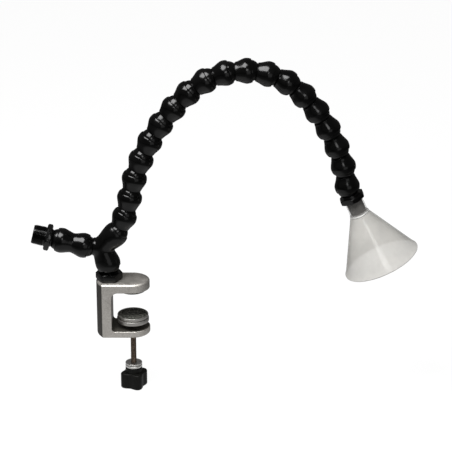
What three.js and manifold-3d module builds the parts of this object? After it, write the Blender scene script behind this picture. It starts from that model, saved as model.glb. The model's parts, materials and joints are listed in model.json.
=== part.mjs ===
// Bench-clamp fume extraction arm: a ball-and-socket hose with a Y fitting at its foot, a side branch
// that ends in a pipe thread, a funnel hood at the far end, and a screw clamp that grips a bench edge.
// Millimetres, +Z up. The origin is on the clamp screw's axis, in the face that rests on the bench top.
import * as THREE from 'three';
import { mergeVertices } from 'three/addons/utils/BufferGeometryUtils.js';
import Module from 'manifold-3d';

const wasm = await Module();
wasm.setup();
const DEG = Math.PI / 180;

// Clearances
const SEAT_GAP = 0.3; // between pieces that are fixed to each other
const JOINT_GAP = 0.15; // between a ball and the flats of its socket

// Ball-and-socket hose
const BALL_R = 15;
const BORE_R = 10;
const SOCKET_WALL = 1.95; // at the widest ring of a cup
const LIP_WALL = 1.2; // at the open edge of a cup
const CUP_SWELL = 3; // from a cup's widest ring to its ball's centre
const LIP_ANGLE = 12; // degrees that a cup reaches past its ball's equator
const BEND_LIMIT = 26; // degrees each way at every ball
const BEND_MARGIN = 1.5; // degrees left between lip and neck at the limit
const LINK_PITCH = 29.4; // ball centre to cup centre
const WAIST_R = 13.8; // narrowest outside radius of a piece with a cup at both ends
const HOSE_SIDES = 16;
const SOCKET_STEPS = 3;
const BALL_STEPS = 4;
const FLARE_STEPS = 3;

// Rest pose of the arm: how many links bend alike, and by how many degrees each
const ARM_RUNS = [
  { links: 1, bend: 22 },
  { links: 1, bend: 10 },
  { links: 1, bend: 0 },
  { links: 5, bend: -6 },
  { links: 1, bend: -10.5 },
  { links: 5, bend: -15.5 },
  { links: 1, bend: -10 },
  { links: 4, bend: -6.8 },
];
const HOOD_BEND = 14;
const BRANCH_BEND = -10;
const Y_LEAN = 20; // degrees that the Y fitting leans from the base connector's axis

// Y fitting and the double socket on its branch
const Y_LEG_ANGLE = 66; // between the stem's axis and each upper leg
const Y_STEM = 29.5; // crossing point to the centre of the cup below
const Y_ARM_LEG = 31.5; // crossing point to the centre of the cup that carries the arm
const Y_BRANCH_LEG = 21.6; // crossing point to the centre of the branch ball
const Y_CORE_R = 14;
const DOUBLE_SOCKET_PITCH = 39;

// Threaded connectors
const CONNECTOR_NECK = 0.5; // from where the ball's cup can reach to the hexagon
const FLANGE_THICKNESS = 7.9;
const FLANGE_ACROSS_FLATS = 33;
const FLANGE_CHAMFER = 30; // degrees, where the hexagon's corners are turned off
const FLANGE_SIDES = 24;
const THREAD_R = 14.2; // outside radius of the pipe thread beside the hexagon
const THREAD_TAPER = 1 / 32; // loss of radius along the thread, as on a taper pipe thread
const THREAD_LENGTH = 18.3;
const BASE_CLEARANCE = 0.6; // between the Y fitting's lip and the base connector's hexagon
const BASE_FLANGE_THICKNESS = 10.8;
const BASE_THREAD_LENGTH = 9;

// Funnel hood and the smaller thread that it sits on
const HOOD_THREAD_R = 11.7;
const HOOD_THREAD_LENGTH = 20;
const HOOD_NECK_GAP = 0.6; // between the hexagon and the hood's neck
const HOOD_NECK_LENGTH = 21.2;
const HOOD_WALL = 1.4;
const HOOD_HEIGHT = 79.4;
const HOOD_MOUTH_R = 55;
const HOOD_LIP = 2.2; // rounded rim at the mouth
const HOOD_LEDGE = 1.2; // inner step at the end of the thread
const HOOD_SIDES = 36;

// Clamp frame
const JAW_DEPTH = 49;
const UPPER_JAW = 12.8;
const LOWER_JAW = 9.8;
const JAW_GAP = 59.2;
const SPINE = 22; // thickness of the upright
const REACH = 29; // upright to screw axis
const SPINE_CROWN = 8.5; // swell of the upright's outer face
const UPPER_CORNER_R = 8.5;
const LOWER_CORNER_R = 4.5;
const FRAME_CHAMFER = 1.5;
const BASE_OFFSET = 32.5; // screw axis to base connector axis

// Clamp pads
const FIXED_PAD_R = 19;
const FIXED_PAD_THICKNESS = 4;
const PAD_GAP = 37; // between the two pads at rest
const PAD_R = 22.8;
const PAD_RIM_R = 22;
const PAD_GROOVE_R = 20.9;
const PAD_THICKNESS = 10.5;
const PAD_GROOVE = 1.4; // height of the groove round the pad
const PAD_RIM = 3.6; // height of the rim above the groove
const PAD_EDGE = 0.8;
const RUBBER_R = 19.7;
const RUBBER_THICKNESS = 2;
const PAD_SIDES = 24;

// Clamp screw and knob
const SCREW_R = 4;
const SCREW_TIP_R = 3.2;
const SCREW_NECK_R = 2.2;
const SCREW_CHAMFER = 0.8;
const SCREW_SIDES = 16;
const RING_THICKNESS = 1.2;
const RING_INSET = 0.6;
const RING_BORE_R = 2.6;
const COLLAR_TOP = 113; // below the bench face, at rest
const COLLAR_R = 12;
const COLLAR_HEIGHT = 6.2;
const HUB_R = 12;
const HUB_HEIGHT = 8;
const KNOB_HEIGHT = 23;
const KNOB_MEAN_R = 17.2;
const KNOB_LOBE = 2.6;
const KNOB_LOBES = 4;
const KNOB_TURN = 24; // degrees
const KNOB_EDGE = 1.5;
const KNOB_FLOOR = 9; // solid plastic under the screw's end

const blackPlastic = new THREE.MeshStandardMaterial({ color: 0x141414, roughness: 0.3, metalness: 0 });
const clearPlastic = new THREE.MeshStandardMaterial({
  color: 0xdad8d2,
  roughness: 0.35,
  metalness: 0,
  transparent: true,
  opacity: 0.55,
});
const aluminium = new THREE.MeshStandardMaterial({ color: 0xb4afa8, roughness: 0.45, metalness: 1 });
const steel = new THREE.MeshStandardMaterial({ color: 0xa9a7a2, roughness: 0.35, metalness: 1 });
const oiledSteel = new THREE.MeshStandardMaterial({ color: 0x453a34, roughness: 0.4, metalness: 1 });
const rubber = new THREE.MeshStandardMaterial({ color: 0x2e302e, roughness: 0.9, metalness: 0 });

// Merges shared vertices and drops the triangles that closed up at a pole
function weld(geometry) {
  geometry.deleteAttribute('normal');
  geometry.deleteAttribute('uv');
  const merged = mergeVertices(geometry);
  const kept = [];
  for (let i = 0; i < merged.index.count; i += 3) {
    const [a, b, c] = [0, 1, 2].map((k) => merged.index.getX(i + k));
    if (a !== b && b !== c && c !== a) kept.push(a, b, c);
  }
  merged.setIndex(kept);
  merged.computeVertexNormals();
  return merged;
}

// A profile of [radius, height] pairs turned about +Z
function revolve(profile, sides) {
  const points = profile.map(([radius, height]) => new THREE.Vector2(radius, height));
  return weld(new THREE.LatheGeometry(points, sides).rotateX(Math.PI / 2));
}

const revolveRing = (profile, sides) => revolve([...profile, profile[0]], sides);

function toSolid(geometry) {
  const vertProperties = new Float32Array(geometry.attributes.position.array);
  const triVerts = new Uint32Array(geometry.index.array);
  return new wasm.Manifold(new wasm.Mesh({ numProp: 3, vertProperties, triVerts }));
}

function toGeometry(solid) {
  const { numProp, vertProperties, triVerts } = solid.getMesh();
  const geometry = new THREE.BufferGeometry();
  geometry.setAttribute('position', new THREE.BufferAttribute(vertProperties, numProp));
  geometry.setIndex(new THREE.BufferAttribute(triVerts, 1));
  geometry.computeVertexNormals();
  return geometry;
}

function addMesh(parent, name, geometry, material) {
  const mesh = new THREE.Mesh(geometry, material);
  mesh.name = name;
  parent.add(mesh);
  return mesh;
}

// A group that carries what comes after a joint: its place along the parent's axis, and its bend
function addGroup(parent, height, bend = 0) {
  const group = new THREE.Group();
  group.position.z = height;
  group.rotation.y = -bend * DEG;
  parent.add(group);
  return group;
}

// Points [radius, height] on a sphere about the axis, between two angles from its equator
function arc(radius, height, from, to, steps) {
  return Array.from({ length: steps + 1 }, (_, i) => {
    const angle = (from + ((to - from) * i) / steps) * DEG;
    return [radius * Math.cos(angle), height + radius * Math.sin(angle)];
  });
}

// The socket's corners lie outside the ball's sphere, so that its flats clear a ball turned any way.
const boreAngle = (radius) => Math.acos(BORE_R / radius) / DEG;
const socketStep = (LIP_ANGLE + boreAngle(BALL_R)) / SOCKET_STEPS;
const SOCKET_R =
  (BALL_R + JOINT_GAP) / (Math.cos(Math.PI / HOSE_SIDES) * Math.cos((socketStep / 2) * DEG));
const CUP_R = SOCKET_R + SOCKET_WALL;
const LIP_R = SOCKET_R + LIP_WALL;
const LIP_TOP = LIP_R * Math.sin(LIP_ANGLE * DEG);
const NECK_ANGLE = LIP_ANGLE + BEND_LIMIT + BEND_MARGIN;
const NECK_R = LIP_R * Math.cos(NECK_ANGLE * DEG);
const NECK_START = LIP_R * Math.sin(NECK_ANGLE * DEG);
const FLANGE_START = NECK_START + CONNECTOR_NECK; // ball centre to the hexagon
const BASE_NECK = LIP_R * Math.sin((LIP_ANGLE + Y_LEAN) * DEG) + BASE_CLEARANCE;

// The ball's outside, from the edge of its bore to its neck
const ballOutside = arc(BALL_R, 0, -boreAngle(BALL_R), NECK_ANGLE, BALL_STEPS);

// The outside of a cup: a flare from a waist to the widest ring, then in to the lip
function cupOutside(waistRadius, waistHeight, cupHeight) {
  const flareHeight = cupHeight - CUP_SWELL - waistHeight;
  const flare = Array.from({ length: FLARE_STEPS }, (_, i) => {
    const share = (i + 1) / FLARE_STEPS;
    const rise = share * share * (3 - 2 * share);
    return [waistRadius + (CUP_R - waistRadius) * rise, waistHeight + flareHeight * share];
  });
  return [...flare, [LIP_R * Math.cos(LIP_ANGLE * DEG), cupHeight + LIP_TOP]];
}

const socketInside = (height) => arc(SOCKET_R, height, LIP_ANGLE, -boreAngle(SOCKET_R), SOCKET_STEPS);

// A solid tool that cuts a socket and the bore behind it, from the origin outwards
function socketTool(cupHeight) {
  const inside = socketInside(cupHeight).reverse();
  const [mouthRadius] = inside[SOCKET_STEPS];
  const past = cupHeight + 2 * LIP_TOP;
  const profile = [[0, 0], [BORE_R, 0], ...inside, [mouthRadius, past], [0, past]];
  return toSolid(revolve(profile, HOSE_SIDES));
}

function boreTool(from, to) {
  const profile = [[0, from], [BORE_R, from], [BORE_R, to], [0, to]];
  return toSolid(revolve(profile, HOSE_SIDES));
}

// One hose link: ball at the origin, cup opening along +Z
const linkGeometry = revolveRing(
  [
    ...ballOutside,
    [NECK_R, NECK_START],
    ...cupOutside(NECK_R, NECK_START, LINK_PITCH),
    ...socketInside(LINK_PITCH),
  ],
  HOSE_SIDES,
);

// Two cups back to back: the first opens downwards about the origin, the second upwards
function doubleSocketGeometry() {
  const middle = DOUBLE_SOCKET_PITCH / 2;
  const mirror = (profile) => profile.map(([r, h]) => [r, DOUBLE_SOCKET_PITCH - h]).reverse();
  const outside = cupOutside(WAIST_R, middle, DOUBLE_SOCKET_PITCH);
  const inside = socketInside(DOUBLE_SOCKET_PITCH);
  return revolveRing(
    [...mirror(outside), [WAIST_R, middle], ...outside, ...inside, ...mirror(inside)], HOSE_SIDES);
}

// The Y fitting, with the stem's cup about the origin and the crossing point above it
function yFittingGeometry() {
  const turnLeg = (solid, angle) => solid.rotate([0, angle, 0]).translate([0, 0, Y_STEM]);
  const cupLeg = (length) => {
    const profile = [[0, 0], [Y_CORE_R, 0], ...cupOutside(Y_CORE_R, 0, length), [0, length + LIP_TOP]];
    return toSolid(revolve(profile, HOSE_SIDES));
  };
  const ball = ballOutside.map(([r, h]) => [r, Y_BRANCH_LEG - h]).reverse();
  const ballEnd = ball[BALL_STEPS][1];
  const branchLeg = toSolid(
    revolve([[0, 0], [Y_CORE_R, 0], [NECK_R, Y_BRANCH_LEG - NECK_START], ...ball, [0, ballEnd]], HOSE_SIDES));
  const core = toSolid(weld(new THREE.SphereGeometry(Y_CORE_R, HOSE_SIDES, HOSE_SIDES / 2)));
  const chamber = toSolid(weld(new THREE.SphereGeometry(BORE_R, HOSE_SIDES, HOSE_SIDES / 2)));
  const outside = turnLeg(core, 0)
    .add(turnLeg(cupLeg(Y_STEM), 180))
    .add(turnLeg(cupLeg(Y_ARM_LEG), Y_LEG_ANGLE))
    .add(turnLeg(branchLeg, -Y_LEG_ANGLE));
  const passages = turnLeg(chamber, 0)
    .add(turnLeg(socketTool(Y_STEM), 180))
    .add(turnLeg(socketTool(Y_ARM_LEG), Y_LEG_ANGLE))
    .add(turnLeg(boreTool(0, ballEnd + BORE_R), -Y_LEG_ANGLE));
  return toGeometry(outside.subtract(passages));
}

// A hexagon about +Z with its corners turned off at both faces
function hexagonSolid(from, thickness) {
  const flat = FLANGE_ACROSS_FLATS / 2;
  const corner = flat / Math.cos(30 * DEG);
  const middle = from + thickness / 2;
  const prism = new THREE.CylinderGeometry(corner, corner, thickness, 6)
    .rotateX(Math.PI / 2)
    .translate(0, 0, middle);
  const swell = thickness / 2 / Math.tan(FLANGE_CHAMFER * DEG);
  const to = from + thickness;
  const cones = [[0, from], [flat, from], [flat + swell, middle], [flat, to], [0, to]];
  return toSolid(weld(prism)).intersect(toSolid(revolve(cones, FLANGE_SIDES)));
}

// A connector: ball at the origin, then neck, hexagon and pipe thread along +Z
function connectorGeometry(flangeStart, flangeThickness, threadRadius, threadLength) {
  const threadStart = flangeStart + flangeThickness;
  const threadEnd = threadStart + threadLength;
  const ballEnd = ballOutside[0][1];
  const profile = [
    [0, ballEnd],
    ...ballOutside,
    [NECK_R, NECK_START],
    [NECK_R, flangeStart + flangeThickness / 2],
    [threadRadius, flangeStart + flangeThickness / 2],
    [threadRadius, threadStart],
    [threadRadius - THREAD_TAPER * threadLength, threadEnd],
    [0, threadEnd],
  ];
  const body = toSolid(revolve(profile, HOSE_SIDES)).add(hexagonSolid(flangeStart, flangeThickness));
  return toGeometry(body.subtract(boreTool(ballEnd - BORE_R, threadEnd + BORE_R)));
}

// The hood: its neck starts at the origin and its mouth opens along +Z
function hoodGeometry() {
  const neckBore = HOOD_THREAD_R + SEAT_GAP;
  const neckRadius = neckBore + HOOD_WALL;
  const mouthHeight = HOOD_NECK_LENGTH + HOOD_HEIGHT;
  const ledgeHeight = HOOD_THREAD_LENGTH - HOOD_NECK_GAP + SEAT_GAP;
  const ledgeRadius = neckBore - HOOD_LEDGE;
  const slope = Math.atan2(HOOD_MOUTH_R - neckRadius, HOOD_HEIGHT);
  const across = HOOD_WALL / Math.cos(slope);
  return revolveRing(
    [
      [neckBore, 0],
      [neckRadius, 0],
      [neckRadius, HOOD_NECK_LENGTH],
      [HOOD_MOUTH_R - HOOD_LIP / 2, mouthHeight - HOOD_LIP],
      [HOOD_MOUTH_R, mouthHeight - HOOD_LIP / 2],
      [HOOD_MOUTH_R - HOOD_LIP / 4, mouthHeight],
      [HOOD_MOUTH_R - across, mouthHeight],
      [neckRadius - across, HOOD_NECK_LENGTH],
      [ledgeRadius, HOOD_NECK_LENGTH],
      [ledgeRadius, ledgeHeight],
      [neckBore, ledgeHeight],
    ],
    HOOD_SIDES,
  );
}

// The clamp's levels, down from the bench face
const jawUnderside = FIXED_PAD_THICKNESS;
const frameTop = jawUnderside + UPPER_JAW;
const lowerJawTop = jawUnderside - JAW_GAP;
const frameBottom = lowerJawTop - LOWER_JAW;
const spineInside = -REACH;
const spineOutside = spineInside - SPINE;
const padTop = -PAD_GAP;
const padBottom = padTop - PAD_THICKNESS;

// A solid cylinder about the Z axis
function column(radius, from, to) {
  return toSolid(revolve([[0, from], [radius, from], [radius, to], [0, to]], PAD_SIDES));
}

// The frame: a chamfered block with round jaw ends and a crowned back, less the opening and two holes
function frameGeometry() {
  const half = JAW_DEPTH / 2;
  const crownRadius = (half * half + SPINE_CROWN * SPINE_CROWN) / (2 * SPINE_CROWN);
  const inset = FRAME_CHAMFER;
  const crownAngle = Math.asin((half - inset) / (crownRadius - inset));
  const plan = new THREE.Shape();
  plan.moveTo(0, inset - half);
  plan.absarc(0, 0, half - inset, -Math.PI / 2, Math.PI / 2, false);
  plan.absarc(spineOutside + crownRadius, 0, crownRadius - inset,
    Math.PI - crownAngle, Math.PI + crownAngle, false);
  const block = new THREE.ExtrudeGeometry(plan, {
    depth: frameTop - frameBottom - 2 * FRAME_CHAMFER,
    bevelThickness: FRAME_CHAMFER,
    bevelSize: FRAME_CHAMFER,
    bevelSegments: 1,
    curveSegments: 12,
  }).translate(0, 0, frameBottom + FRAME_CHAMFER);

  const opening = new THREE.Shape();
  const past = half + JAW_DEPTH;
  opening.moveTo(past, lowerJawTop);
  opening.lineTo(past, jawUnderside);
  opening.absarc(spineInside + UPPER_CORNER_R, jawUnderside - UPPER_CORNER_R, UPPER_CORNER_R,
    Math.PI / 2, Math.PI, false);
  opening.absarc(spineInside + LOWER_CORNER_R, lowerJawTop + LOWER_CORNER_R, LOWER_CORNER_R,
    Math.PI, Math.PI * 1.5, false);
  const slot = new THREE.ExtrudeGeometry(opening, {
    depth: 2 * JAW_DEPTH,
    bevelEnabled: false,
    curveSegments: 5,
  }).translate(0, 0, -JAW_DEPTH).rotateX(Math.PI / 2);

  const screwHole = column(SCREW_R + SEAT_GAP, frameBottom - LOWER_JAW, lowerJawTop + LOWER_JAW);
  const holeFloor = frameTop - BASE_THREAD_LENGTH - SEAT_GAP;
  const baseHole = column(THREAD_R + SEAT_GAP, holeFloor, frameTop + UPPER_JAW)
    .translate([-BASE_OFFSET, 0, 0]);
  const jaws = toSolid(weld(block)).subtract(toSolid(weld(slot)));
  return toGeometry(jaws.subtract(screwHole).subtract(baseHole));
}

function discGeometry(radius, edge, from, to) {
  return revolve([[0, from], [radius - edge, from], [radius, from + edge], [radius, to], [0, to]], PAD_SIDES);
}

// The swivel pad, its underside at the origin: a grooved disc with a recess above and a tip socket below
const tipHeight = RING_INSET + RING_THICKNESS + SEAT_GAP
  + Math.sqrt(SCREW_TIP_R * SCREW_TIP_R - RING_BORE_R * RING_BORE_R);
const tipSocketR = SCREW_TIP_R + 4 * SEAT_GAP;
function padGeometry() {
  const socketTop = tipHeight + SCREW_TIP_R + SEAT_GAP;
  const recess = PAD_THICKNESS - RUBBER_THICKNESS - SEAT_GAP;
  const recessR = RUBBER_R + SEAT_GAP;
  const grooveTop = PAD_THICKNESS - PAD_RIM;
  const grooveBottom = grooveTop - PAD_GROOVE;
  return revolve(
    [
      [0, socketTop],
      [tipSocketR, socketTop],
      [tipSocketR, 0],
      [PAD_R - PAD_EDGE, 0],
      [PAD_R, PAD_EDGE],
      [PAD_R, grooveBottom],
      [PAD_GROOVE_R, grooveBottom],
      [PAD_GROOVE_R, grooveTop],
      [PAD_RIM_R, grooveTop],
      [PAD_RIM_R, PAD_THICKNESS - PAD_EDGE],
      [PAD_RIM_R - PAD_EDGE, PAD_THICKNESS],
      [recessR, PAD_THICKNESS],
      [recessR, recess],
      [0, recess],
    ],
    PAD_SIDES,
  );
}

function tubeGeometry(inner, outer, from, to, sides) {
  return revolveRing([[inner, from], [outer, from], [outer, to], [inner, to]], sides);
}

// The knob's levels, below the bench face
const collarBottom = -COLLAR_TOP - COLLAR_HEIGHT;
const hubTop = collarBottom - SEAT_GAP;
const knobTop = hubTop - HUB_HEIGHT;
const knobBottom = knobTop - KNOB_HEIGHT;
const screwEnd = knobBottom + KNOB_FLOOR;

// The screw: a ball tip under the pad, a turned neck, and a rod that ends inside the knob
function screwGeometry() {
  const tipCentre = padBottom + tipHeight;
  const neckAngle = -Math.acos(SCREW_NECK_R / SCREW_TIP_R) / DEG;
  const tip = arc(SCREW_TIP_R, tipCentre, neckAngle, 90, BALL_STEPS).slice(0, -1);
  const shoulder = padBottom - SEAT_GAP;
  return revolve(
    [
      [0, screwEnd],
      [SCREW_R - SCREW_CHAMFER, screwEnd],
      [SCREW_R, screwEnd + SCREW_CHAMFER],
      [SCREW_R, shoulder - SCREW_CHAMFER],
      [SCREW_R - SCREW_CHAMFER, shoulder],
      [SCREW_NECK_R, shoulder],
      ...tip,
      [0, tipCentre + SCREW_TIP_R],
    ],
    SCREW_SIDES,
  );
}

// The knob: a lobed grip under a round hub, with a blind hole for the screw
function knobGeometry() {
  const outline = new THREE.Shape();
  const steps = KNOB_LOBES * 10;
  for (let i = 0; i < steps; i++) {
    const angle = (2 * Math.PI * i) / steps;
    const radius = KNOB_MEAN_R - KNOB_EDGE + KNOB_LOBE * Math.cos(KNOB_LOBES * angle);
    const place = [radius * Math.cos(angle), radius * Math.sin(angle)];
    if (i === 0) outline.moveTo(...place);
    else outline.lineTo(...place);
  }
  const grip = new THREE.ExtrudeGeometry(outline, {
    depth: KNOB_HEIGHT - 2 * KNOB_EDGE,
    bevelThickness: KNOB_EDGE,
    bevelSize: KNOB_EDGE,
    bevelSegments: 1,
  }).translate(0, 0, knobBottom + KNOB_EDGE).rotateZ(KNOB_TURN * DEG);
  const hub = column(HUB_R, knobTop - KNOB_EDGE, hubTop);
  const socket = column(SCREW_R + SEAT_GAP, screwEnd - SEAT_GAP, hubTop + HUB_HEIGHT);
  return toGeometry(toSolid(weld(grip)).add(hub).subtract(socket));
}

const arm = new THREE.Group();

// Clamp
addMesh(arm, 'clamp_frame', frameGeometry(), aluminium);
addMesh(arm, 'fixed_jaw_pad',
  discGeometry(FIXED_PAD_R, PAD_EDGE, 0, FIXED_PAD_THICKNESS - SEAT_GAP), rubber);

const padGroup = addGroup(arm, padBottom);
addMesh(padGroup, 'swivel_pad', padGeometry(), aluminium);
addMesh(padGroup, 'pad_rubber',
  revolve([[0, PAD_THICKNESS - RUBBER_THICKNESS], [RUBBER_R, PAD_THICKNESS - RUBBER_THICKNESS],
    [RUBBER_R, PAD_THICKNESS], [0, PAD_THICKNESS]], PAD_SIDES), rubber);
const ringTop = RING_INSET + RING_THICKNESS;
addMesh(padGroup, 'pad_retaining_ring',
  tubeGeometry(RING_BORE_R, tipSocketR - SEAT_GAP, RING_INSET, ringTop, SCREW_SIDES), steel);

const screwGroup = addGroup(arm, 0);
addMesh(screwGroup, 'clamp_screw', screwGeometry(), oiledSteel);
addMesh(screwGroup, 'knob_collar',
  tubeGeometry(SCREW_R + SEAT_GAP, COLLAR_R, collarBottom, -COLLAR_TOP, PAD_SIDES), steel);
addMesh(screwGroup, 'clamp_knob', knobGeometry(), blackPlastic);

// Base connector, its thread screwed down into the frame and its ball upwards
const base = new THREE.Group();
base.position.set(-BASE_OFFSET, 0, frameTop + SEAT_GAP + BASE_FLANGE_THICKNESS + BASE_NECK);
arm.add(base);
const baseConnector = connectorGeometry(BASE_NECK, BASE_FLANGE_THICKNESS, THREAD_R, BASE_THREAD_LENGTH);
addMesh(base, 'base_connector', baseConnector, blackPlastic).rotation.y = Math.PI;

// Y fitting
const yGroup = addGroup(base, 0, Y_LEAN);
addMesh(yGroup, 'y_fitting', yFittingGeometry(), blackPlastic);
const crossing = addGroup(yGroup, Y_STEM);

// Side branch
const branchLeg = addGroup(crossing, 0, Y_LEG_ANGLE);
const doubleSocket = addGroup(branchLeg, Y_BRANCH_LEG, BRANCH_BEND);
addMesh(doubleSocket, 'double_socket', doubleSocketGeometry(), blackPlastic);
const outlet = addGroup(doubleSocket, DOUBLE_SOCKET_PITCH);
const outletConnector = connectorGeometry(FLANGE_START, FLANGE_THICKNESS, THREAD_R, THREAD_LENGTH);
addMesh(outlet, 'outlet_connector', outletConnector, blackPlastic);

// Arm: each link's ball sits in the cup before it
let carrier = addGroup(crossing, 0, -Y_LEG_ANGLE);
let reach = Y_ARM_LEG;
let number = 0;
for (const run of ARM_RUNS) {
  for (let i = 0; i < run.links; i++) {
    number += 1;
    carrier = addGroup(carrier, reach, run.bend);
    reach = LINK_PITCH;
    addMesh(carrier, `arm_link_${String(number).padStart(2, '0')}`, linkGeometry, blackPlastic);
  }
}

// Hood, pushed over its connector's thread
const hoodEnd = addGroup(carrier, reach, HOOD_BEND);
const hoodConnector = connectorGeometry(FLANGE_START, FLANGE_THICKNESS, HOOD_THREAD_R, HOOD_THREAD_LENGTH);
addMesh(hoodEnd, 'hood_connector', hoodConnector, blackPlastic);
const hoodNeck = FLANGE_START + FLANGE_THICKNESS + HOOD_NECK_GAP;
addMesh(addGroup(hoodEnd, hoodNeck), 'hood', hoodGeometry(), clearPlastic);

export default arm;
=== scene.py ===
"""Looks of the bench-clamp fume arm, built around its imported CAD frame. Metres, +Z up."""

import json
import math

import bmesh
import bpy
from mathutils import Matrix, Vector


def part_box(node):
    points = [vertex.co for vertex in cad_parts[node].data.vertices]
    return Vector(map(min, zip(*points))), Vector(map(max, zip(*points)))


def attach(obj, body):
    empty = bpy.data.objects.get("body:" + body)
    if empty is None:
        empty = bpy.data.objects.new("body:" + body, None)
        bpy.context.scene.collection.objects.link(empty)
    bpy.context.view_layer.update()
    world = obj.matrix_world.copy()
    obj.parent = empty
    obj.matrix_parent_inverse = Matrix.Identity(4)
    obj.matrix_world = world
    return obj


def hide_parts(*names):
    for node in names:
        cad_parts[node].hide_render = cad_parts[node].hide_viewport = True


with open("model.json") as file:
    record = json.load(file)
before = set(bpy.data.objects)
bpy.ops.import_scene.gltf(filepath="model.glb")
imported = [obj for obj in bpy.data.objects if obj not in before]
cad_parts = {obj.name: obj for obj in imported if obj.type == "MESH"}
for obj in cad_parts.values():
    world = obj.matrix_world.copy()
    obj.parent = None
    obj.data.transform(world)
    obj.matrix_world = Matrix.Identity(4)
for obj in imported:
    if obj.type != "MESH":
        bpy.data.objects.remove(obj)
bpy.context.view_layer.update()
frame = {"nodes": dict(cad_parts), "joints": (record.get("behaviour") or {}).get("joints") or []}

# Clamp frame
# A C of cast aluminium, machined and then bead-blasted. Its jaws end round, its back swells outwards and
# its top and bottom outlines are chamfered. The screw and the base connector are tapped into it.
frame_low, frame_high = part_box("clamp_frame")
frame_half = frame_high.y
frame_chamfer = 0.0019
frame_edge = 0.0009
spine_width = 0.022
spine_inside = frame_low.x + spine_width
glue_gap = 0.0003
jaw_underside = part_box("fixed_jaw_pad")[1].z + glue_gap
lower_jaw_thickness = 0.0098
lower_jaw_top = frame_low.z + lower_jaw_thickness
upper_corner = 0.0085
lower_corner = 0.0045
crown = 0.0085
crown_radius = (frame_half**2 + crown**2) / (2 * crown)
crown_angle = math.asin(frame_half / crown_radius)
base_hole_radius = 0.0145
base_hole_depth = 0.0093
screw_hole_radius = 0.0043
overcut = 0.01
back_facing = -0.7
same_place = 1e-6
joint_at = {j["name"]: Vector(j["pos_m"]) for j in frame["joints"] if j.get("pos_m")}


class Shade:
    """A socket in a material's nodes, so that shader maths reads as plain sums."""

    def __init__(self, tree, socket=None):
        self.tree, self.socket = tree, socket

    def node(self, kind, settings, values, output=0):
        made = self.tree.nodes.new(kind)
        for name, setting in settings.items():
            if name == "stops":
                elements = made.color_ramp.elements
                while len(elements) < len(setting):
                    elements.new(1)
                for element, (position, colour) in zip(elements, setting):
                    element.position, element.color = position, (*colour, 1)
            else:
                setattr(made, name, setting)
        for name, value in values.items():
            if isinstance(value, Shade):
                self.tree.links.new(value.socket, made.inputs[name])
            else:
                made.inputs[name].default_value = value
        return Shade(self.tree, made.outputs[output])

    def maths(self, operation, *values):
        return self.node("ShaderNodeMath", {"operation": operation}, dict(enumerate(values)))

    def __add__(self, other):
        return self.maths("ADD", self, other)

    def __mul__(self, other):
        return self.maths("MULTIPLY", self, other)

    def __sub__(self, other):
        return self.maths("SUBTRACT", self, other)

    def __rsub__(self, other):
        return self.maths("SUBTRACT", other, self)

    __radd__, __rmul__ = __add__, __mul__

    def vector(self, operation, *values, output=0):
        return self.node("ShaderNodeVectorMath", {"operation": operation}, dict(enumerate(values)), output)

    def part(self, vector, axis):
        return self.node("ShaderNodeSeparateXYZ", {}, {"Vector": vector}, axis)

    def noise(self, place, scale, detail=2.0, roughness=0.5):
        values = {"Vector": place, "Scale": scale, "Detail": detail, "Roughness": roughness}
        return self.node("ShaderNodeTexNoise", {}, values)

    def ramp(self, value, *stops):
        return self.node("ShaderNodeValToRGB", {"stops": stops}, {"Fac": value})

    def step(self, value, low, high, at_low=0.0, at_high=1.0):
        values = {"Value": value, "From Min": low, "From Max": high, "To Min": at_low, "To Max": at_high}
        return self.node("ShaderNodeMapRange", {"interpolation_type": "SMOOTHSTEP"}, values)

    def bump(self, height, distance, strength):
        values = {"Height": height, "Distance": distance, "Strength": strength}
        return self.node("ShaderNodeBump", {}, values, "Normal")


def new_finish(name, constants):
    """A material with its shader's fixed values set, and what its nodes start from: a socket to make others
    with, the place on the piece, and a way to link what is made to the shader."""
    material = bpy.data.materials.new(name)
    material.use_nodes = True
    shader = material.node_tree.nodes["Principled BSDF"]
    for socket, value in constants.items():
        shader.inputs[socket].default_value = value
    start = Shade(material.node_tree)
    place = start.node("ShaderNodeTexCoord", {}, {}, "Object")

    def link(**values):
        for socket, value in values.items():
            material.node_tree.links.new(value.socket, shader.inputs[socket.replace("_", " ")])

    return material, start, place, link


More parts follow.
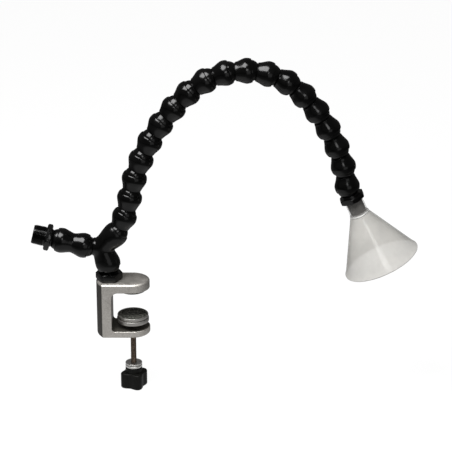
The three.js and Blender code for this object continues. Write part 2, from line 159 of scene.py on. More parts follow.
def blasted_aluminium():
    """Bead-blasted cast aluminium: a fine grey speckle over slow stains, a pitted satin surface, and painted
    shade, darker and a little duller, in the lower corner of the opening under the pad."""
    material, start, place, link = new_finish("blasted_aluminium", {"Metallic": 0.92})
    grain = start.noise(place, scale=800, detail=4, roughness=0.75)
    stains = start.noise(place, scale=55, detail=3, roughness=0.55)
    bright = start.ramp(
        0.8 * grain + 0.2 * stains,
        (0.3, (0.40, 0.38, 0.345)), (0.5, (0.65, 0.62, 0.58)), (0.7, (0.86, 0.84, 0.80)))
    # The second colour is painted shade, for the lower corner of the opening under the pad.
    painted_shade = start.ramp(grain, (0.35, (0.05, 0.046, 0.036)), (0.65, (0.12, 0.112, 0.09)))

    # The masks below mark the lower corner of the opening, where the shade is painted.
    jaw_side = start.vector("MAXIMUM", place, (0, -1, -1))
    across = start.vector("MULTIPLY", jaw_side, (1, 1, 0))
    reach = start.vector("LENGTH", across, output="Value")
    height, depth = start.part(place, "Z"), start.part(place, "X")
    within_outline = 1 - start.step(reach, frame_half - 0.0014, frame_half - 0.0006)
    on_jaw = start.step(height, lower_jaw_top - 0.0008, lower_jaw_top - 0.0002)
    low_down = 1 - start.step(height + 0.004 * stains, lower_jaw_top + 0.006, lower_jaw_top + 0.02)
    past_spine = start.step(depth, spine_inside - 0.0006, spine_inside - 0.0002)
    # corner is where the painted shade lies: the lower jaw's top and the foot of the spine, inside the
    # outline.
    corner = within_outline * on_jaw * low_down * past_spine
    link(
        Base_Color=start.node(
            "ShaderNodeMix", {"data_type": "RGBA"}, {0: 0.9 * corner, 6: bright, 7: painted_shade}, 2),
        Roughness=start.step(stains, 0.3, 0.7, at_low=0.44, at_high=0.57) + 0.1 * corner,
        Normal=start.bump(grain, distance=0.00009, strength=0.7),
    )
    return material


def painted_back_shade():
    """The frame's back faces, darker and duller than the rest: painted shade, over a slight pebbling."""
    material, start, place, link = new_finish("painted_back_shade", {"Metallic": 0.7})
    grain = start.noise(place, scale=900, detail=4, roughness=0.6)
    link(
        Base_Color=start.ramp(grain, (0.3, (0.055, 0.052, 0.048)), (0.7, (0.13, 0.125, 0.115))),
        Roughness=start.step(grain, 0.3, 0.7, at_low=0.55, at_high=0.75),
        Normal=start.bump(grain, distance=0.0001, strength=0.8),
    )
    return material


def draw_arc(bm, first, centre, angle, steps, axis=(0, 0, 1)):
    """The chain of edges that a point draws as it turns about an axis; gives its two ends."""
    start = bm.verts.new(first)
    turned = bmesh.ops.spin(bm, geom=[start], cent=centre, axis=axis, angle=angle, steps=steps)
    return start, next(v for v in turned["geom_last"] if isinstance(v, bmesh.types.BMVert))


def fill_and_extrude(bm, along):
    """Closes an outline with a face and draws it out into a solid."""
    bmesh.ops.remove_doubles(bm, verts=bm.verts, dist=same_place)
    face = bmesh.ops.contextual_create(bm, geom=bm.edges[:])["faces"]
    drawn = bmesh.ops.extrude_face_region(bm, geom=face, use_keep_orig=True)["geom"]
    bmesh.ops.translate(bm, vec=along, verts=[v for v in drawn if isinstance(v, bmesh.types.BMVert)])
    bmesh.ops.recalc_face_normals(bm, faces=bm.faces)


def post(radius, low, high, x=0.0, segments=64):
    """A round solid about an upright line, to cut a hole with."""
    bm = bmesh.new()
    middle = Matrix.Translation((x, 0, (low + high) / 2))
    bmesh.ops.create_cone(
        bm, cap_ends=True, segments=segments, radius1=radius, radius2=radius, depth=high - low, matrix=middle)
    return bm


def place_solid(bm):
    """Turns a bmesh into an object in the scene, for a modifier to work on."""
    mesh = bpy.data.meshes.new("solid")
    bm.to_mesh(mesh)
    bm.free()
    solid = bpy.data.objects.new("solid", mesh)
    bpy.context.scene.collection.objects.link(solid)
    return solid


def take_result(solid, *tools):
    """The bmesh that a solid's modifiers give; the solid and its tools go."""
    result = bmesh.new()
    result.from_mesh(solid.evaluated_get(bpy.context.evaluated_depsgraph_get()).to_mesh())
    for shape in (solid, *tools):
        mesh = shape.data
        bpy.data.objects.remove(shape)
        bpy.data.meshes.remove(mesh)
    return result


def combine(solid, tool, operation):
    """Cuts, joins or crosses two closed solids and gives what is left."""
    solid, tool = place_solid(solid), place_solid(tool)
    boolean = solid.modifiers.new("combine", "BOOLEAN")
    boolean.operation, boolean.object, boolean.solver = operation, tool, "EXACT"
    return take_result(solid, tool)


def fit_piece(bm, name, material, body, node, edge=0.0, crisp=35):
    """Finishes a piece: smooth faces, crisp or softened edges, and its body and CAD node."""
    mesh = bpy.data.meshes.new(name)
    bm.to_mesh(mesh)
    bm.free()
    mesh.shade_smooth()
    mesh.set_sharp_from_angle(angle=math.radians(crisp))
    mesh.materials.append(material)
    thing = bpy.data.objects.new(name, mesh)
    bpy.context.scene.collection.objects.link(thing)
    if edge:
        soften = thing.modifiers.new("soften", "BEVEL")
        soften.width, soften.segments, soften.limit_method = edge, 2, "ANGLE"
        soften.angle_limit, soften.harden_normals = math.radians(crisp), True
    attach(thing, body)
    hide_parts(node)
    return thing


casting = bmesh.new()
jaw_end = draw_arc(casting, (0, -frame_half, frame_low.z), (0, 0, frame_low.z), math.pi, steps=40)
crown_centre = Vector((frame_low.x + crown_radius, 0, frame_low.z))
crown_start = crown_centre + crown_radius * Vector((-math.cos(crown_angle), math.sin(crown_angle), 0))
crown_end = draw_arc(casting, crown_start, crown_centre, 2 * crown_angle, steps=24)
casting.edges.new((jaw_end[1], crown_end[0]))
casting.edges.new((crown_end[1], jaw_end[0]))
fill_and_extrude(casting, (0, 0, frame_high.z - frame_low.z))
outline = [e for e in casting.edges if abs(e.verts[0].co.z - e.verts[1].co.z) < same_place]
bmesh.ops.bevel(
    casting, geom=outline, offset=frame_chamfer, affect="EDGES", segments=1, profile=0.5, material=-1)

past = 4 * frame_half
opening = bmesh.new()
upper_centre = (spine_inside + upper_corner, -past, jaw_underside - upper_corner)
upper_arc = draw_arc(
    opening, (spine_inside, -past, upper_centre[2]), upper_centre, math.pi / 2, steps=12, axis=(0, 1, 0))
lower_centre = (spine_inside + lower_corner, -past, lower_jaw_top + lower_corner)
lower_arc = draw_arc(
    opening, (lower_centre[0], -past, lower_jaw_top), lower_centre, math.pi / 2, steps=8, axis=(0, 1, 0))
open_low, open_high = [opening.verts.new((past, -past, height)) for height in (lower_jaw_top, jaw_underside)]
opening.edges.new((lower_arc[1], upper_arc[0]))
opening.edges.new((upper_arc[1], open_high))
opening.edges.new((open_high, open_low))
opening.edges.new((open_low, lower_arc[0]))
fill_and_extrude(opening, (0, 2 * past, 0))

base_ball = joint_at["base_swivel"]
base_hole = post(base_hole_radius, frame_high.z - base_hole_depth, frame_high.z + overcut, base_ball.x)
screw_hole = post(screw_hole_radius, frame_low.z - overcut, lower_jaw_top + overcut)
for tool in (opening, screw_hole, base_hole):
    casting = combine(casting, tool, "DIFFERENCE")
# The back faces take the second finish, which is painted shade on that side of the frame.
for face in casting.faces:
    if face.normal.x < back_facing and face.calc_center_median().x < frame_low.x + crown:
        face.material_index = 1
frame_piece = fit_piece(
    casting, "frame_casting", blasted_aluminium(), "clamp", "clamp_frame", edge=frame_edge)
frame_piece.data.materials.append(painted_back_shade())

# Jaw disc
# A disc of dark bonded rubber, punched from sheet and glued under the upper jaw, so that the clamp
# doesn't mark the bench top.
disc_low, disc_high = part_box("fixed_jaw_pad")
disc_edge = 0.0007


def turn(profile, steps=72):
    """A profile of (radius, height) points turned about +Z into a closed skin."""
    bm = bmesh.new()
    chain = [bm.verts.new((radius, 0, height)) for radius, height in profile]
    edges = [bm.edges.new(pair) for pair in zip(chain, chain[1:])]
    bmesh.ops.spin(
        bm, geom=chain + edges, cent=(0, 0, 0), axis=(0, 0, 1), angle=2 * math.pi, steps=steps,
        use_merge=True)
    bmesh.ops.remove_doubles(bm, verts=bm.verts, dist=same_place)
    bmesh.ops.recalc_face_normals(bm, faces=bm.faces)
    return bm


def turned_disc(low, high, radius, steps=72):
    """A plain disc between two heights."""
    return turn([(0, low), (radius, low), (radius, high), (0, high)], steps)


def round_edges(bm, offset, degrees=40, segments=3):
    """Rounds every edge where two faces meet more sharply than that."""
    sharpest = math.radians(degrees)
    sharp = [e for e in bm.edges if len(e.link_faces) == 2 and e.calc_face_angle() > sharpest]
    bmesh.ops.bevel(
        bm, geom=sharp, offset=offset, affect="EDGES", segments=segments, profile=0.5, material=-1,
        clamp_overlap=True)
    return bm


def granular_rubber():
    """Bonded rubber crumb: black with small grey grains, matt and slightly open."""
    material, start, place, link = new_finish("granular_rubber", {"Specular IOR Level": 0.3})
    crumbs = start.node("ShaderNodeTexVoronoi", {}, {"Vector": place, "Scale": 760.0}, "Color")
    crumb = start.node("ShaderNodeSeparateColor", {}, {"Color": crumbs})
    wear = start.noise(place, scale=240, detail=3)
    dust = start.noise(place, scale=2300, detail=3, roughness=0.7)
    shade = 0.48 * crumb + 0.24 * wear + 0.28 * dust
    link(
        Base_Color=start.ramp(
            shade,
            (0.3, (0.013, 0.014, 0.011)), (0.52, (0.05, 0.052, 0.044)), (0.72, (0.21, 0.21, 0.185))),
        Roughness=start.step(wear, 0.3, 0.7, at_low=0.72, at_high=0.92),
        Normal=start.bump(shade, distance=0.0003, strength=0.6),
    )
    return material


rubber = granular_rubber()
disc = turned_disc(disc_low.z, disc_high.z, disc_high.x)
fit_piece(round_edges(disc, disc_edge), "jaw_disc", rubber, "clamp", "fixed_jaw_pad")

# Base connector
# A glossy black moulding: a hollow ball that the Y fitting snaps onto, a tall hexagon with its corners
# turned off, and a short pipe thread screwed down into the frame.
ball_radius = 0.015
ball_end_degrees = 38.9
bore_radius = 0.010
lip_radius = 0.01689
neck_angle = math.radians(39.5)
neck_radius = lip_radius * math.cos(neck_angle)
neck_start = lip_radius * math.sin(neck_angle)
neck_foot_angle = math.radians(39.4)
neck_foot_reach = ball_radius + 0.001
neck_overlap = 0.001
across_flats = 0.033
hexagon_edge = 0.0004
hexagon_sink = 0.0008
thread_radius = 0.0142
thread_taper = 1 / 32
thread_pitch = 0.00181
thread_depth = 0.00085
thread_end_chamfer = 0.0006
bore_chamfer = 0.0005
ridge_foot = 0.46
ridge_crest = 0.07
ridge_sink = 1.15
hose_steps = 64
base_flange = 0.0108
base_thread = 0.009
base_neck = base_ball.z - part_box("base_connector")[0].z - base_flange - base_thread


def black_moulding():
    """Semi-gloss black acetal: faint flow marks in its gloss, specks of dust and a very fine moulded skin."""
    material, start, place, link = new_finish("black_moulding", {"Specular IOR Level": 0.3})
    flow = start.noise(place, scale=60, detail=3, roughness=0.55)
    skin = start.noise(place, scale=900, detail=2)
    dust = start.step(start.noise(place, scale=2600, detail=1), 0.66, 0.8)
    tone = start.step(flow, 0.3, 0.75, at_low=0.0006, at_high=0.0022) + 0.005 * dust
    link(
        Base_Color=start.node("ShaderNodeCombineColor", {}, {"Red": tone, "Green": tone, "Blue": tone}),
        Roughness=start.step(flow, 0.3, 0.7, at_low=0.13, at_high=0.2) + 0.12 * dust,
        Normal=start.bump(skin, distance=0.00003, strength=0.35),
    )
    return material


def arc_points(radius, height, first, last, steps):
    """(radius, height) points on a sphere about the axis, between two angles from its equator in degrees."""
    angles = [math.radians(first + (last - first) * i / steps) for i in range(steps + 1)]
    return [(radius * math.cos(a), height + radius * math.sin(a)) for a in angles]


def ball_points():
    """The outside of a ball, from the rim of its bore to the foot of its neck, which clears a cup's lip."""
    rim = math.degrees(math.acos(bore_radius / ball_radius))
    foot = (neck_foot_reach * math.cos(neck_foot_angle), neck_foot_reach * math.sin(neck_foot_angle))
    return [*arc_points(ball_radius, 0, -rim, ball_end_degrees, 18), foot]


def hexagon(low, thickness):
    """A hexagon whose corners are turned off at both faces."""
    slope = math.radians(30)
    middle, top = low + thickness / 2, low + thickness
    flat = across_flats / 2
    corner = flat / math.cos(slope)
    turned_off = thickness / 2 / math.tan(slope)
    prism = bmesh.new()
    bmesh.ops.create_cone(
        prism, cap_ends=True, segments=6, radius1=corner, radius2=corner, depth=thickness,
        matrix=Matrix.Translation((0, 0, middle)) @ Matrix.Rotation(math.pi / 6, 4, "Z"))
    cones = turn([(0, low), (flat, low), (flat + turned_off, middle), (flat, top), (0, top)])
    return combine(prism, cones, "INTERSECT")


def thread_ridge(radius, start, length, pitch, depth, steps=40, taper=0.0):
    """The ridge of a thread: its section carried up a helix, drawn in as the thread tapers."""
    bm = bmesh.new()
    foot, crest, root = pitch * ridge_foot, pitch * ridge_crest, radius - depth * ridge_sink
    section = [(root, start - foot), (radius, start - crest), (radius, start + crest), (root, start + foot)]
    face = bm.faces.new([bm.verts.new((r, 0, z)) for r, z in section])
    turns = length / pitch
    spins = int(steps * turns)
    bmesh.ops.spin(
        bm, geom=[face], cent=(0, 0, 0), axis=(0, 0, 1), angle=2 * math.pi * turns, steps=spins,
        dvec=(0, 0, length / spins))
    for vert in bm.verts:
        drawn_in = 1 - taper * (vert.co.z - start) / radius
        vert.co.x *= drawn_in
        vert.co.y *= drawn_in
    bmesh.ops.recalc_face_normals(bm, faces=bm.faces)
    return bm


def gather(*shapes):
    """Puts several closed shapes into one mesh."""
    whole = bmesh.new()
    for shape in shapes:
        mesh = bpy.data.meshes.new("shape")
        shape.to_mesh(mesh)
        shape.free()
        whole.from_mesh(mesh)
        bpy.data.meshes.remove(mesh)
    return whole


def connector(flange_start, flange_thickness, outer_radius, thread_length):
    """A ball at the origin, then a neck, a hexagon and a taper thread along +Z, with a bore right through."""
    flange_middle = flange_start + flange_thickness / 2
    thread_start = flange_start + flange_thickness
    thread_end = thread_start + thread_length
    root = outer_radius - thread_depth
    end_root = root - thread_taper * thread_length
    body = turn([
        *ball_points(),
        (neck_radius, flange_start + neck_overlap),
        (neck_radius, flange_middle),
        (root, flange_middle),
        (root, thread_start),
        (end_root, thread_end - thread_end_chamfer),
        (end_root - thread_end_chamfer, thread_end),
        (bore_radius + bore_chamfer, thread_end),
        (bore_radius, thread_end - bore_chamfer),
        ball_points()[0],
    ], hose_steps)
    ridge = thread_ridge(
        outer_radius, thread_start + thread_pitch, thread_length - 2 * thread_pitch, thread_pitch,
        thread_depth, taper=thread_taper)
    core = post(root - hexagon_sink, flange_start - overcut, thread_start + overcut)
    nut = combine(hexagon(flange_start, flange_thickness), core, "DIFFERENCE")
    return gather(body, ridge, round_edges(nut, hexagon_edge, degrees=18, segments=2))


def set_along(bm, ball, axis):
    """Moves a shape made along +Z so that its ball sits at a place and its axis points along another."""
    turned = Vector(axis).to_track_quat("Z", "Y").to_matrix().to_4x4()
    bmesh.ops.transform(bm, matrix=Matrix.Translation(ball) @ turned, verts=bm.verts)
    return bm


plastic = black_moulding()
base = set_along(connector(base_neck, base_flange, thread_radius, base_thread), base_ball, (0, 0, -1))
fit_piece(base, "base_ball", plastic, "clamp", "base_connector")

# Swivel pad
# A turned aluminium disc with a groove round it and a rubber face let into its top. It sits on the screw's
# ball tip, held by a small steel ring underneath.
pad_low, pad_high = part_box("swivel_pad")
face_low, face_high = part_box("pad_rubber")
pad_radius = pad_high.x
pad_rim_radius = 0.022
pad_rim_height = 0.0036
pad_groove_radius = 0.0203
pad_groove_height = 0.0014
pad_groove_top = pad_high.z - pad_rim_height
pad_groove_bottom = pad_groove_top - pad_groove_height
pad_edge = 0.00065
recess_radius = 0.020
recess_floor = face_low.z - glue_gap
tip_socket_radius = 0.0044
tip_socket_depth = 0.0075
tip_socket_top = pad_low.z + tip_socket_depth
face_edge = 0.0005
pad_steps = 96


def turned_aluminium():
    """Aluminium off the lathe: fine rings from the tool, and a little dulling."""
    material, start, place, link = new_finish("turned_aluminium", {"Metallic": 0.85})
    spread = start.vector("LENGTH", start.vector("MULTIPLY", place, (1, 1, 0)), output="Value")
    rings = start.node("ShaderNodeTexNoise", {"noise_dimensions": "1D"}, {
        "W": spread + start.part(place, "Z"), "Scale": 4200.0, "Detail": 3.0})
    stains = start.noise(place, scale=120, detail=4, roughness=0.6)
    speckle = start.noise(place, scale=1400, detail=2)
    link(
        Base_Color=start.ramp(
            0.4 * rings + 0.3 * stains + 0.3 * speckle,
            (0.3, (0.27, 0.26, 0.24)), (0.5, (0.44, 0.43, 0.405)), (0.7, (0.60, 0.59, 0.57))),
        Roughness=start.step(stains, 0.3, 0.7, at_low=0.3, at_high=0.44),
        Normal=start.bump(rings, distance=0.00005, strength=0.5),
    )
    return material


pad = turn([
    (0, tip_socket_top), (tip_socket_radius, tip_socket_top), (tip_socket_radius, pad_low.z),
    (pad_radius, pad_low.z), (pad_radius, pad_groove_bottom), (pad_groove_radius, pad_groove_bottom),
    (pad_groove_radius, pad_groove_top), (pad_rim_radius, pad_groove_top), (pad_rim_radius, pad_high.z),
    (recess_radius, pad_high.z), (recess_radius, recess_floor), (0, recess_floor)], pad_steps)
fit_piece(round_edges(pad, pad_edge), "pad_disc", turned_aluminium(), "pad", "swivel_pad")

face = turned_disc(face_low.z, face_high.z, face_high.x, pad_steps)
fit_piece(round_edges(face, face_edge), "pad_face_rubber", rubber, "pad", "pad_rubber")

# Clamp screw
# An M8 rod, blackened and oiled. Its ball tip turns in the pad, its thread runs through the lower jaw and
# its lower end is set in the knob.
screw_low, screw_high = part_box("clamp_screw")
screw_radius = screw_high.x
screw_pitch = 0.00125
screw_thread_depth = 0.00066
screw_root = screw_radius - screw_thread_depth
screw_chamfer = 0.0004
screw_fit = 0.0003
tip_radius = 0.0032
tip_neck_radius = 0.0022
tip_neck_angle = math.degrees(math.acos(tip_neck_radius / tip_radius))
shoulder = pad_low.z - screw_fit


def oiled_steel():
    """Blackened steel: brown-black, worn brighter here and there, with a film of oil."""
    material, start, place, link = new_finish("oiled_steel", {"Metallic": 0.9})
    wear = start.noise(place, scale=420, detail=4, roughness=0.65)
    film = start.noise(place, scale=90, detail=2)
    link(
        Base_Color=start.ramp(
            wear, (0.32, (0.12, 0.088, 0.068)), (0.6, (0.29, 0.23, 0.185)), (0.8, (0.52, 0.46, 0.41))),
        Roughness=start.step(film, 0.3, 0.7, at_low=0.28, at_high=0.46),
        Normal=start.bump(wear, distance=0.00003, strength=0.4),
    )
    return material


rod = turn([
    (0, screw_low.z), (screw_root - screw_chamfer, screw_low.z), (screw_root, screw_low.z + screw_chamfer),
    (screw_root, shoulder - screw_chamfer), (screw_root - screw_chamfer, shoulder),
    (tip_neck_radius, shoulder),
    *arc_points(tip_radius, screw_high.z - tip_radius, -tip_neck_angle, 90, 14)], 40)
screw_thread = thread_ridge(
    screw_radius, screw_low.z + 2 * screw_pitch, shoulder - screw_low.z - 4 * screw_pitch, screw_pitch,
    screw_thread_depth, steps=28)
fit_piece(gather(rod, screw_thread), "screw_rod", oiled_steel(), "screw", "clamp_screw")

# Knob collar
# A steel collar turned with a groove round it, plated with bright zinc and pressed on the screw above
# the knob.
collar_low, collar_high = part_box("knob_collar")
collar_height = collar_high.z - collar_low.z
collar_bore = screw_radius + screw_fit
collar_edge = 0.0004
collar_groove_depth = 0.0026
collar_groove_radius = collar_high.x - collar_groove_depth
groove_low_share, groove_high_share = 0.42, 0.76
collar_groove_bottom = collar_low.z + groove_low_share * collar_height
collar_groove_top = collar_low.z + groove_high_share * collar_height


def bright_zinc():
    """Zinc plate on turned steel: bright, with thin turning rings and a faint clouding."""
    material, start, place, link = new_finish("bright_zinc", {"Metallic": 0.95})
    rings = start.node("ShaderNodeTexNoise", {"noise_dimensions": "1D"}, {
        "W": start.part(place, "Z"), "Scale": 5200.0, "Detail": 3.0})
    cloud = start.noise(place, scale=160, detail=3)
    link(
        Base_Color=start.ramp(cloud, (0.3, (0.66, 0.65, 0.63)), (0.7, (0.88, 0.875, 0.86))),
        Roughness=start.step(cloud, 0.3, 0.7, at_low=0.26, at_high=0.38),
        Normal=start.bump(rings, distance=0.00004, strength=0.4),
    )
    return material


zinc = bright_zinc()
collar = turn([
    (collar_bore, collar_low.z), (collar_high.x, collar_low.z), (collar_high.x, collar_groove_bottom),
    (collar_groove_radius, collar_groove_bottom), (collar_groove_radius, collar_groove_top),
    (collar_high.x, collar_groove_top), (collar_high.x, collar_high.z), (collar_bore, collar_high.z),
    (collar_bore, collar_low.z)])
fit_piece(round_edges(collar, collar_edge), "collar_ring", zinc, "screw", "knob_collar")

# Retaining ring
# A small ring of plated spring steel, snapped into the pad's socket behind the screw's ball tip. It is
# out of sight there, so it keeps its CAD solid and takes only the collar's finish.
retaining_ring = frame["nodes"]["pad_retaining_ring"]
retaining_ring.data.materials.clear()
retaining_ring.data.materials.append(zinc)

# Knob
# A black plastic hand knob with four rounded lobes and a round hub above them, moulded with a fine
# matt texture that has faint upright drag lines.
knob_low, knob_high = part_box("clamp_knob")
hub_height = 0.008
hub_radius = 0.012
hub_sink = 0.002
hub_edge = 0.001
lobe_top = knob_high.z - hub_height
lobe_mean = 0.0172
lobe_rise = 0.0026
lobe_count = 4
lobe_turn = math.radians(24)
knob_edge = 0.0022


def knob_plastic():
    """Matt black plastic with a spark texture and faint upright drag lines from the mould."""
    material, start, place, link = new_finish("knob_plastic", {"Specular IOR Level": 0.17})
    upright = start.node("ShaderNodeMapping", {}, {"Vector": place, "Scale": (1, 1, 0.06)})
    drag = start.noise(upright, scale=900, detail=3)
    spark = start.noise(place, scale=1500, detail=2)
    link(
        Base_Color=start.ramp(drag, (0.3, (0.002, 0.002, 0.002)), (0.7, (0.011, 0.011, 0.0095))),
        Roughness=start.step(drag, 0.3, 0.7, at_low=0.42, at_high=0.58),
        Normal=start.bump(0.6 * spark + 0.4 * drag, distance=0.00012, strength=0.6),
    )
    return material


grip = bmesh.new()
bmesh.ops.create_circle(grip, segments=160, radius=1)
for vert in grip.verts:
    angle = math.atan2(vert.co.y, vert.co.x)
    reach = lobe_mean + lobe_rise * math.cos(lobe_count * (angle - lobe_turn))
    vert.co = (reach * math.cos(angle), reach * math.sin(angle), knob_low.z)
fill_and_extrude(grip, (0, 0, lobe_top - knob_low.z))
round_edges(grip, knob_edge, degrees=60, segments=5)
hub = round_edges(turned_disc(lobe_top - hub_sink, knob_high.z, hub_radius), hub_edge, degrees=60)
screw_seat = post(screw_radius + screw_fit, screw_low.z - screw_fit, knob_high.z + overcut)
knob = combine(combine(grip, hub, "UNION"), screw_seat, "DIFFERENCE")
fit_piece(knob, "hand_knob", knob_plastic(), "screw", "clamp_knob", crisp=50)

# Hose links
# Nineteen equal black mouldings. Each is a hollow ball, a neck and a flare that swells into a cup, whose
# thin lip snaps past the next ball's equator; friction holds the bend.
cup_radius = 0.01764
cup_swell = 0.0046
flare_curved, flare_straight = 0.55, 0.45
shoulder_degrees = 60
lip_degrees = 12
lip_wall = 0.0011
lip_chamfer_height = 0.0004
lip_chamfer_width = 0.0005
socket_radius = 0.01535
link_waist = 0.0132
link_waist_height = 0.0108
link_pitch = 0.0294
arm_links = sorted(name for name in frame["nodes"] if name.startswith("arm_link_"))
link_balls = [joint["pos_m"] for joint in frame["joints"] if joint["child"] in (*arm_links, "hood")]


def cup_points(waist_radius, waist_height, cup_height, flare_steps=18, shoulder_steps=8):
    """The outside of a cup: a flare from a waist to the widest ring, then a round shoulder to the lip."""
    widest = cup_height - cup_swell
    flare = []
    for i in range(1, flare_steps + 1):
        share = i / flare_steps
        rise = flare_curved * share * share * (3 - 2 * share) + flare_straight * share
        flare.append((
            waist_radius + (cup_radius - waist_radius) * rise,
            waist_height + (widest - waist_height) * share))
    lip_edge = socket_radius * math.cos(math.radians(lip_degrees)) + lip_wall
    lip_top = cup_height + lip_radius * math.sin(math.radians(lip_degrees))
    shoulder_height = lip_top - lip_chamfer_height - widest
    last_lean = math.radians(shoulder_degrees)
    shoulder = []
    for i in range(1, shoulder_steps + 1):
        lean = math.radians(shoulder_degrees * i / shoulder_steps)
        shoulder.append((
            cup_radius - (cup_radius - lip_edge) * (1 - math.cos(lean)) / (1 - math.cos(last_lean)),
            widest + shoulder_height * math.sin(lean) / math.sin(last_lean)))
    return [*flare, *shoulder, (lip_edge - lip_chamfer_width, lip_top)]


def socket_points(cup_height):
    """The inside of a cup, from its lip down to the bore."""
    seat = -math.degrees(math.acos(bore_radius / socket_radius))
    return arc_points(socket_radius, cup_height, lip_degrees, seat, 14)


def hose_link():
    """One link along +Z, its ball at the origin."""
    return turn([
        *ball_points(),
        (link_waist, link_waist_height),
        *cup_points(link_waist, link_waist_height, link_pitch),
        *socket_points(link_pitch),
        ball_points()[0],
    ], hose_steps)


for number, name in enumerate(arm_links):
    ball, next_ball = Vector(link_balls[number]), Vector(link_balls[number + 1])
    fit_piece(set_along(hose_link(), ball, next_ball - ball), f"hose_{name}", plastic, name, name)

# Double socket
# Two cups back to back in one black moulding. It joins the Y fitting's branch ball to the outlet's ball
# and snaps over both.
sleeve_waist = 0.0138
branch_ball = joint_at["branch_bend"]
outlet_ball = joint_at["outlet_sway"]
outlet_axis = outlet_ball - branch_ball
sleeve_pitch = outlet_axis.length
upper_half = [
    (sleeve_waist, sleeve_pitch / 2),
    *cup_points(sleeve_waist, sleeve_pitch / 2, sleeve_pitch),
    *socket_points(sleeve_pitch)]
lower_half = [(radius, sleeve_pitch - height) for radius, height in reversed(upper_half)]
sleeve = turn([*lower_half, *upper_half[1:], lower_half[0]], hose_steps)
fit_piece(
    set_along(sleeve, branch_ball, outlet_axis), "branch_sleeve", plastic, "double_socket", "double_socket")

# Outlet connector
# The same black plastic: a ball, a chamfered hexagon for a spanner, and the taper pipe thread that an
# extractor's hose screws onto.
flange_gap = 0.0005
flange_start = neck_start + flange_gap
flange_thickness = 0.0079
outlet_thread = 0.0183
outlet = connector(flange_start, flange_thickness, thread_radius, outlet_thread)
fit_piece(
    set_along(outlet, outlet_ball, outlet_axis), "outlet_thread", plastic, "outlet_connector",
    "outlet_connector")

# Y fitting
# One black moulding that splits the air: a cup on the base connector, a cup for the arm and a ball for
# the branch. Its legs run into each other in soft hollows.
y_lean = math.radians(20)
y_core_radius = 0.014
stem_length = 0.0295
stem_axis = Vector((-math.sin(y_lean), 0, math.cos(y_lean)))
crossing = base_ball + stem_length * stem_axis
arm_axis = Vector(link_balls[0]) - crossing
branch_axis = branch_ball - crossing
branch_length = branch_axis.length
leg_gap = 0.0006
leg_end = branch_length - neck_start - leg_gap
neck_inset = 0.0002
end_overlap = 0.006
leg_overrun = 0.006
facing_height = 0.02
bore_overrun = 0.03
y_voxel = 0.0007
crotch_reach = 0.0235
crotch_guard = 0.0162


def cup_leg(length):
    """A leg's outside from the crossing to past its cup's lip, solid."""
    outside = cup_points(y_core_radius, 0, length)[:-1]
    end = length + leg_overrun
    return turn([(0, 0), (y_core_radius, 0), *outside, (outside[-1][0], end), (0, end)], hose_steps)


def passage(length):
    """The tool that faces a cup's lip and cuts its socket and bore."""
    lip_inside, lip_top = cup_points(y_core_radius, 0, length)[-1]
    clear, above = 2 * cup_radius, lip_top + facing_height
    return turn([
        (0, 0), (bore_radius, 0), *socket_points(length)[::-1], (lip_inside, lip_top), (clear, lip_top),
        (clear, above), (0, above)], hose_steps)


def relax(bm, verts, passes):
    """Evens out a skin, a little with each pass."""
    for _ in range(passes):
        bmesh.ops.smooth_vert(
            bm, verts=verts, factor=0.5, use_axis_x=True, use_axis_y=True, use_axis_z=True)


branch_leg = turn(
    [(0, 0), (y_core_radius, 0), (neck_radius + neck_inset, leg_end), (0, leg_end)], hose_steps)
moulding = bmesh.new()
bmesh.ops.create_uvsphere(
    moulding, u_segments=48, v_segments=24, radius=y_core_radius, matrix=Matrix.Translation(crossing))
for shape, axis in (
        (cup_leg(stem_length), -stem_axis), (cup_leg(arm_axis.length), arm_axis), (branch_leg, branch_axis)):
    moulding = combine(moulding, set_along(shape, crossing, axis), "UNION")

# A voxel skin blends the legs, and it is evened out most in the crotch between them.
blank = place_solid(moulding)
remesh = blank.modifiers.new("blend", "REMESH")
remesh.mode, remesh.voxel_size = "VOXEL", y_voxel
moulding = take_result(blank)
crotch = [
    v for v in moulding.verts
    if (v.co - crossing).length < crotch_reach and (v.co - branch_ball).length > crotch_guard]
relax(moulding, crotch, passes=70)
relax(moulding, moulding.verts, passes=4)

branch_bore = post(bore_radius, 0, branch_length + bore_overrun)
for shape, axis in (
        (passage(stem_length), -stem_axis), (passage(arm_axis.length), arm_axis), (branch_bore, branch_axis)):
    moulding = combine(moulding, set_along(shape, crossing, axis), "DIFFERENCE")

# The branch's ball is turned on its own, so that it stays exactly round and clear of the sleeve's lip.
end_start = leg_end - end_overlap
branch_end = turn([
    (bore_radius, end_start), (neck_radius - 2 * neck_inset, end_start),
    (neck_radius - neck_inset, branch_length - neck_start),
    *[(radius, branch_length - height) for radius, height in reversed(ball_points())],
    (bore_radius, end_start)], hose_steps)
moulding = gather(moulding, set_along(branch_end, crossing, branch_axis))
fit_piece(moulding, "y_moulding", plastic, "y_fitting", "y_fitting", crisp=45)

# Hood connector
# The same moulding as the outlet's, at the arm's far end, with a slimmer thread. Its ball snaps into the
# last link and the hood's neck is pushed over its thread.
hood_ball = Vector(link_balls[-1])
hood_verts = [v.co for v in frame["nodes"]["hood"].data.vertices]
hood_axis = (sum(hood_verts, Vector()) / len(hood_verts) - hood_ball).normalized()
hood_thread_radius = 0.0117
hood_thread = 0.020
hood_end = connector(flange_start, flange_thickness, hood_thread_radius, hood_thread)
fit_piece(set_along(hood_end, hood_ball, hood_axis), "hood_thread", plastic, "hood", "hood_connector")

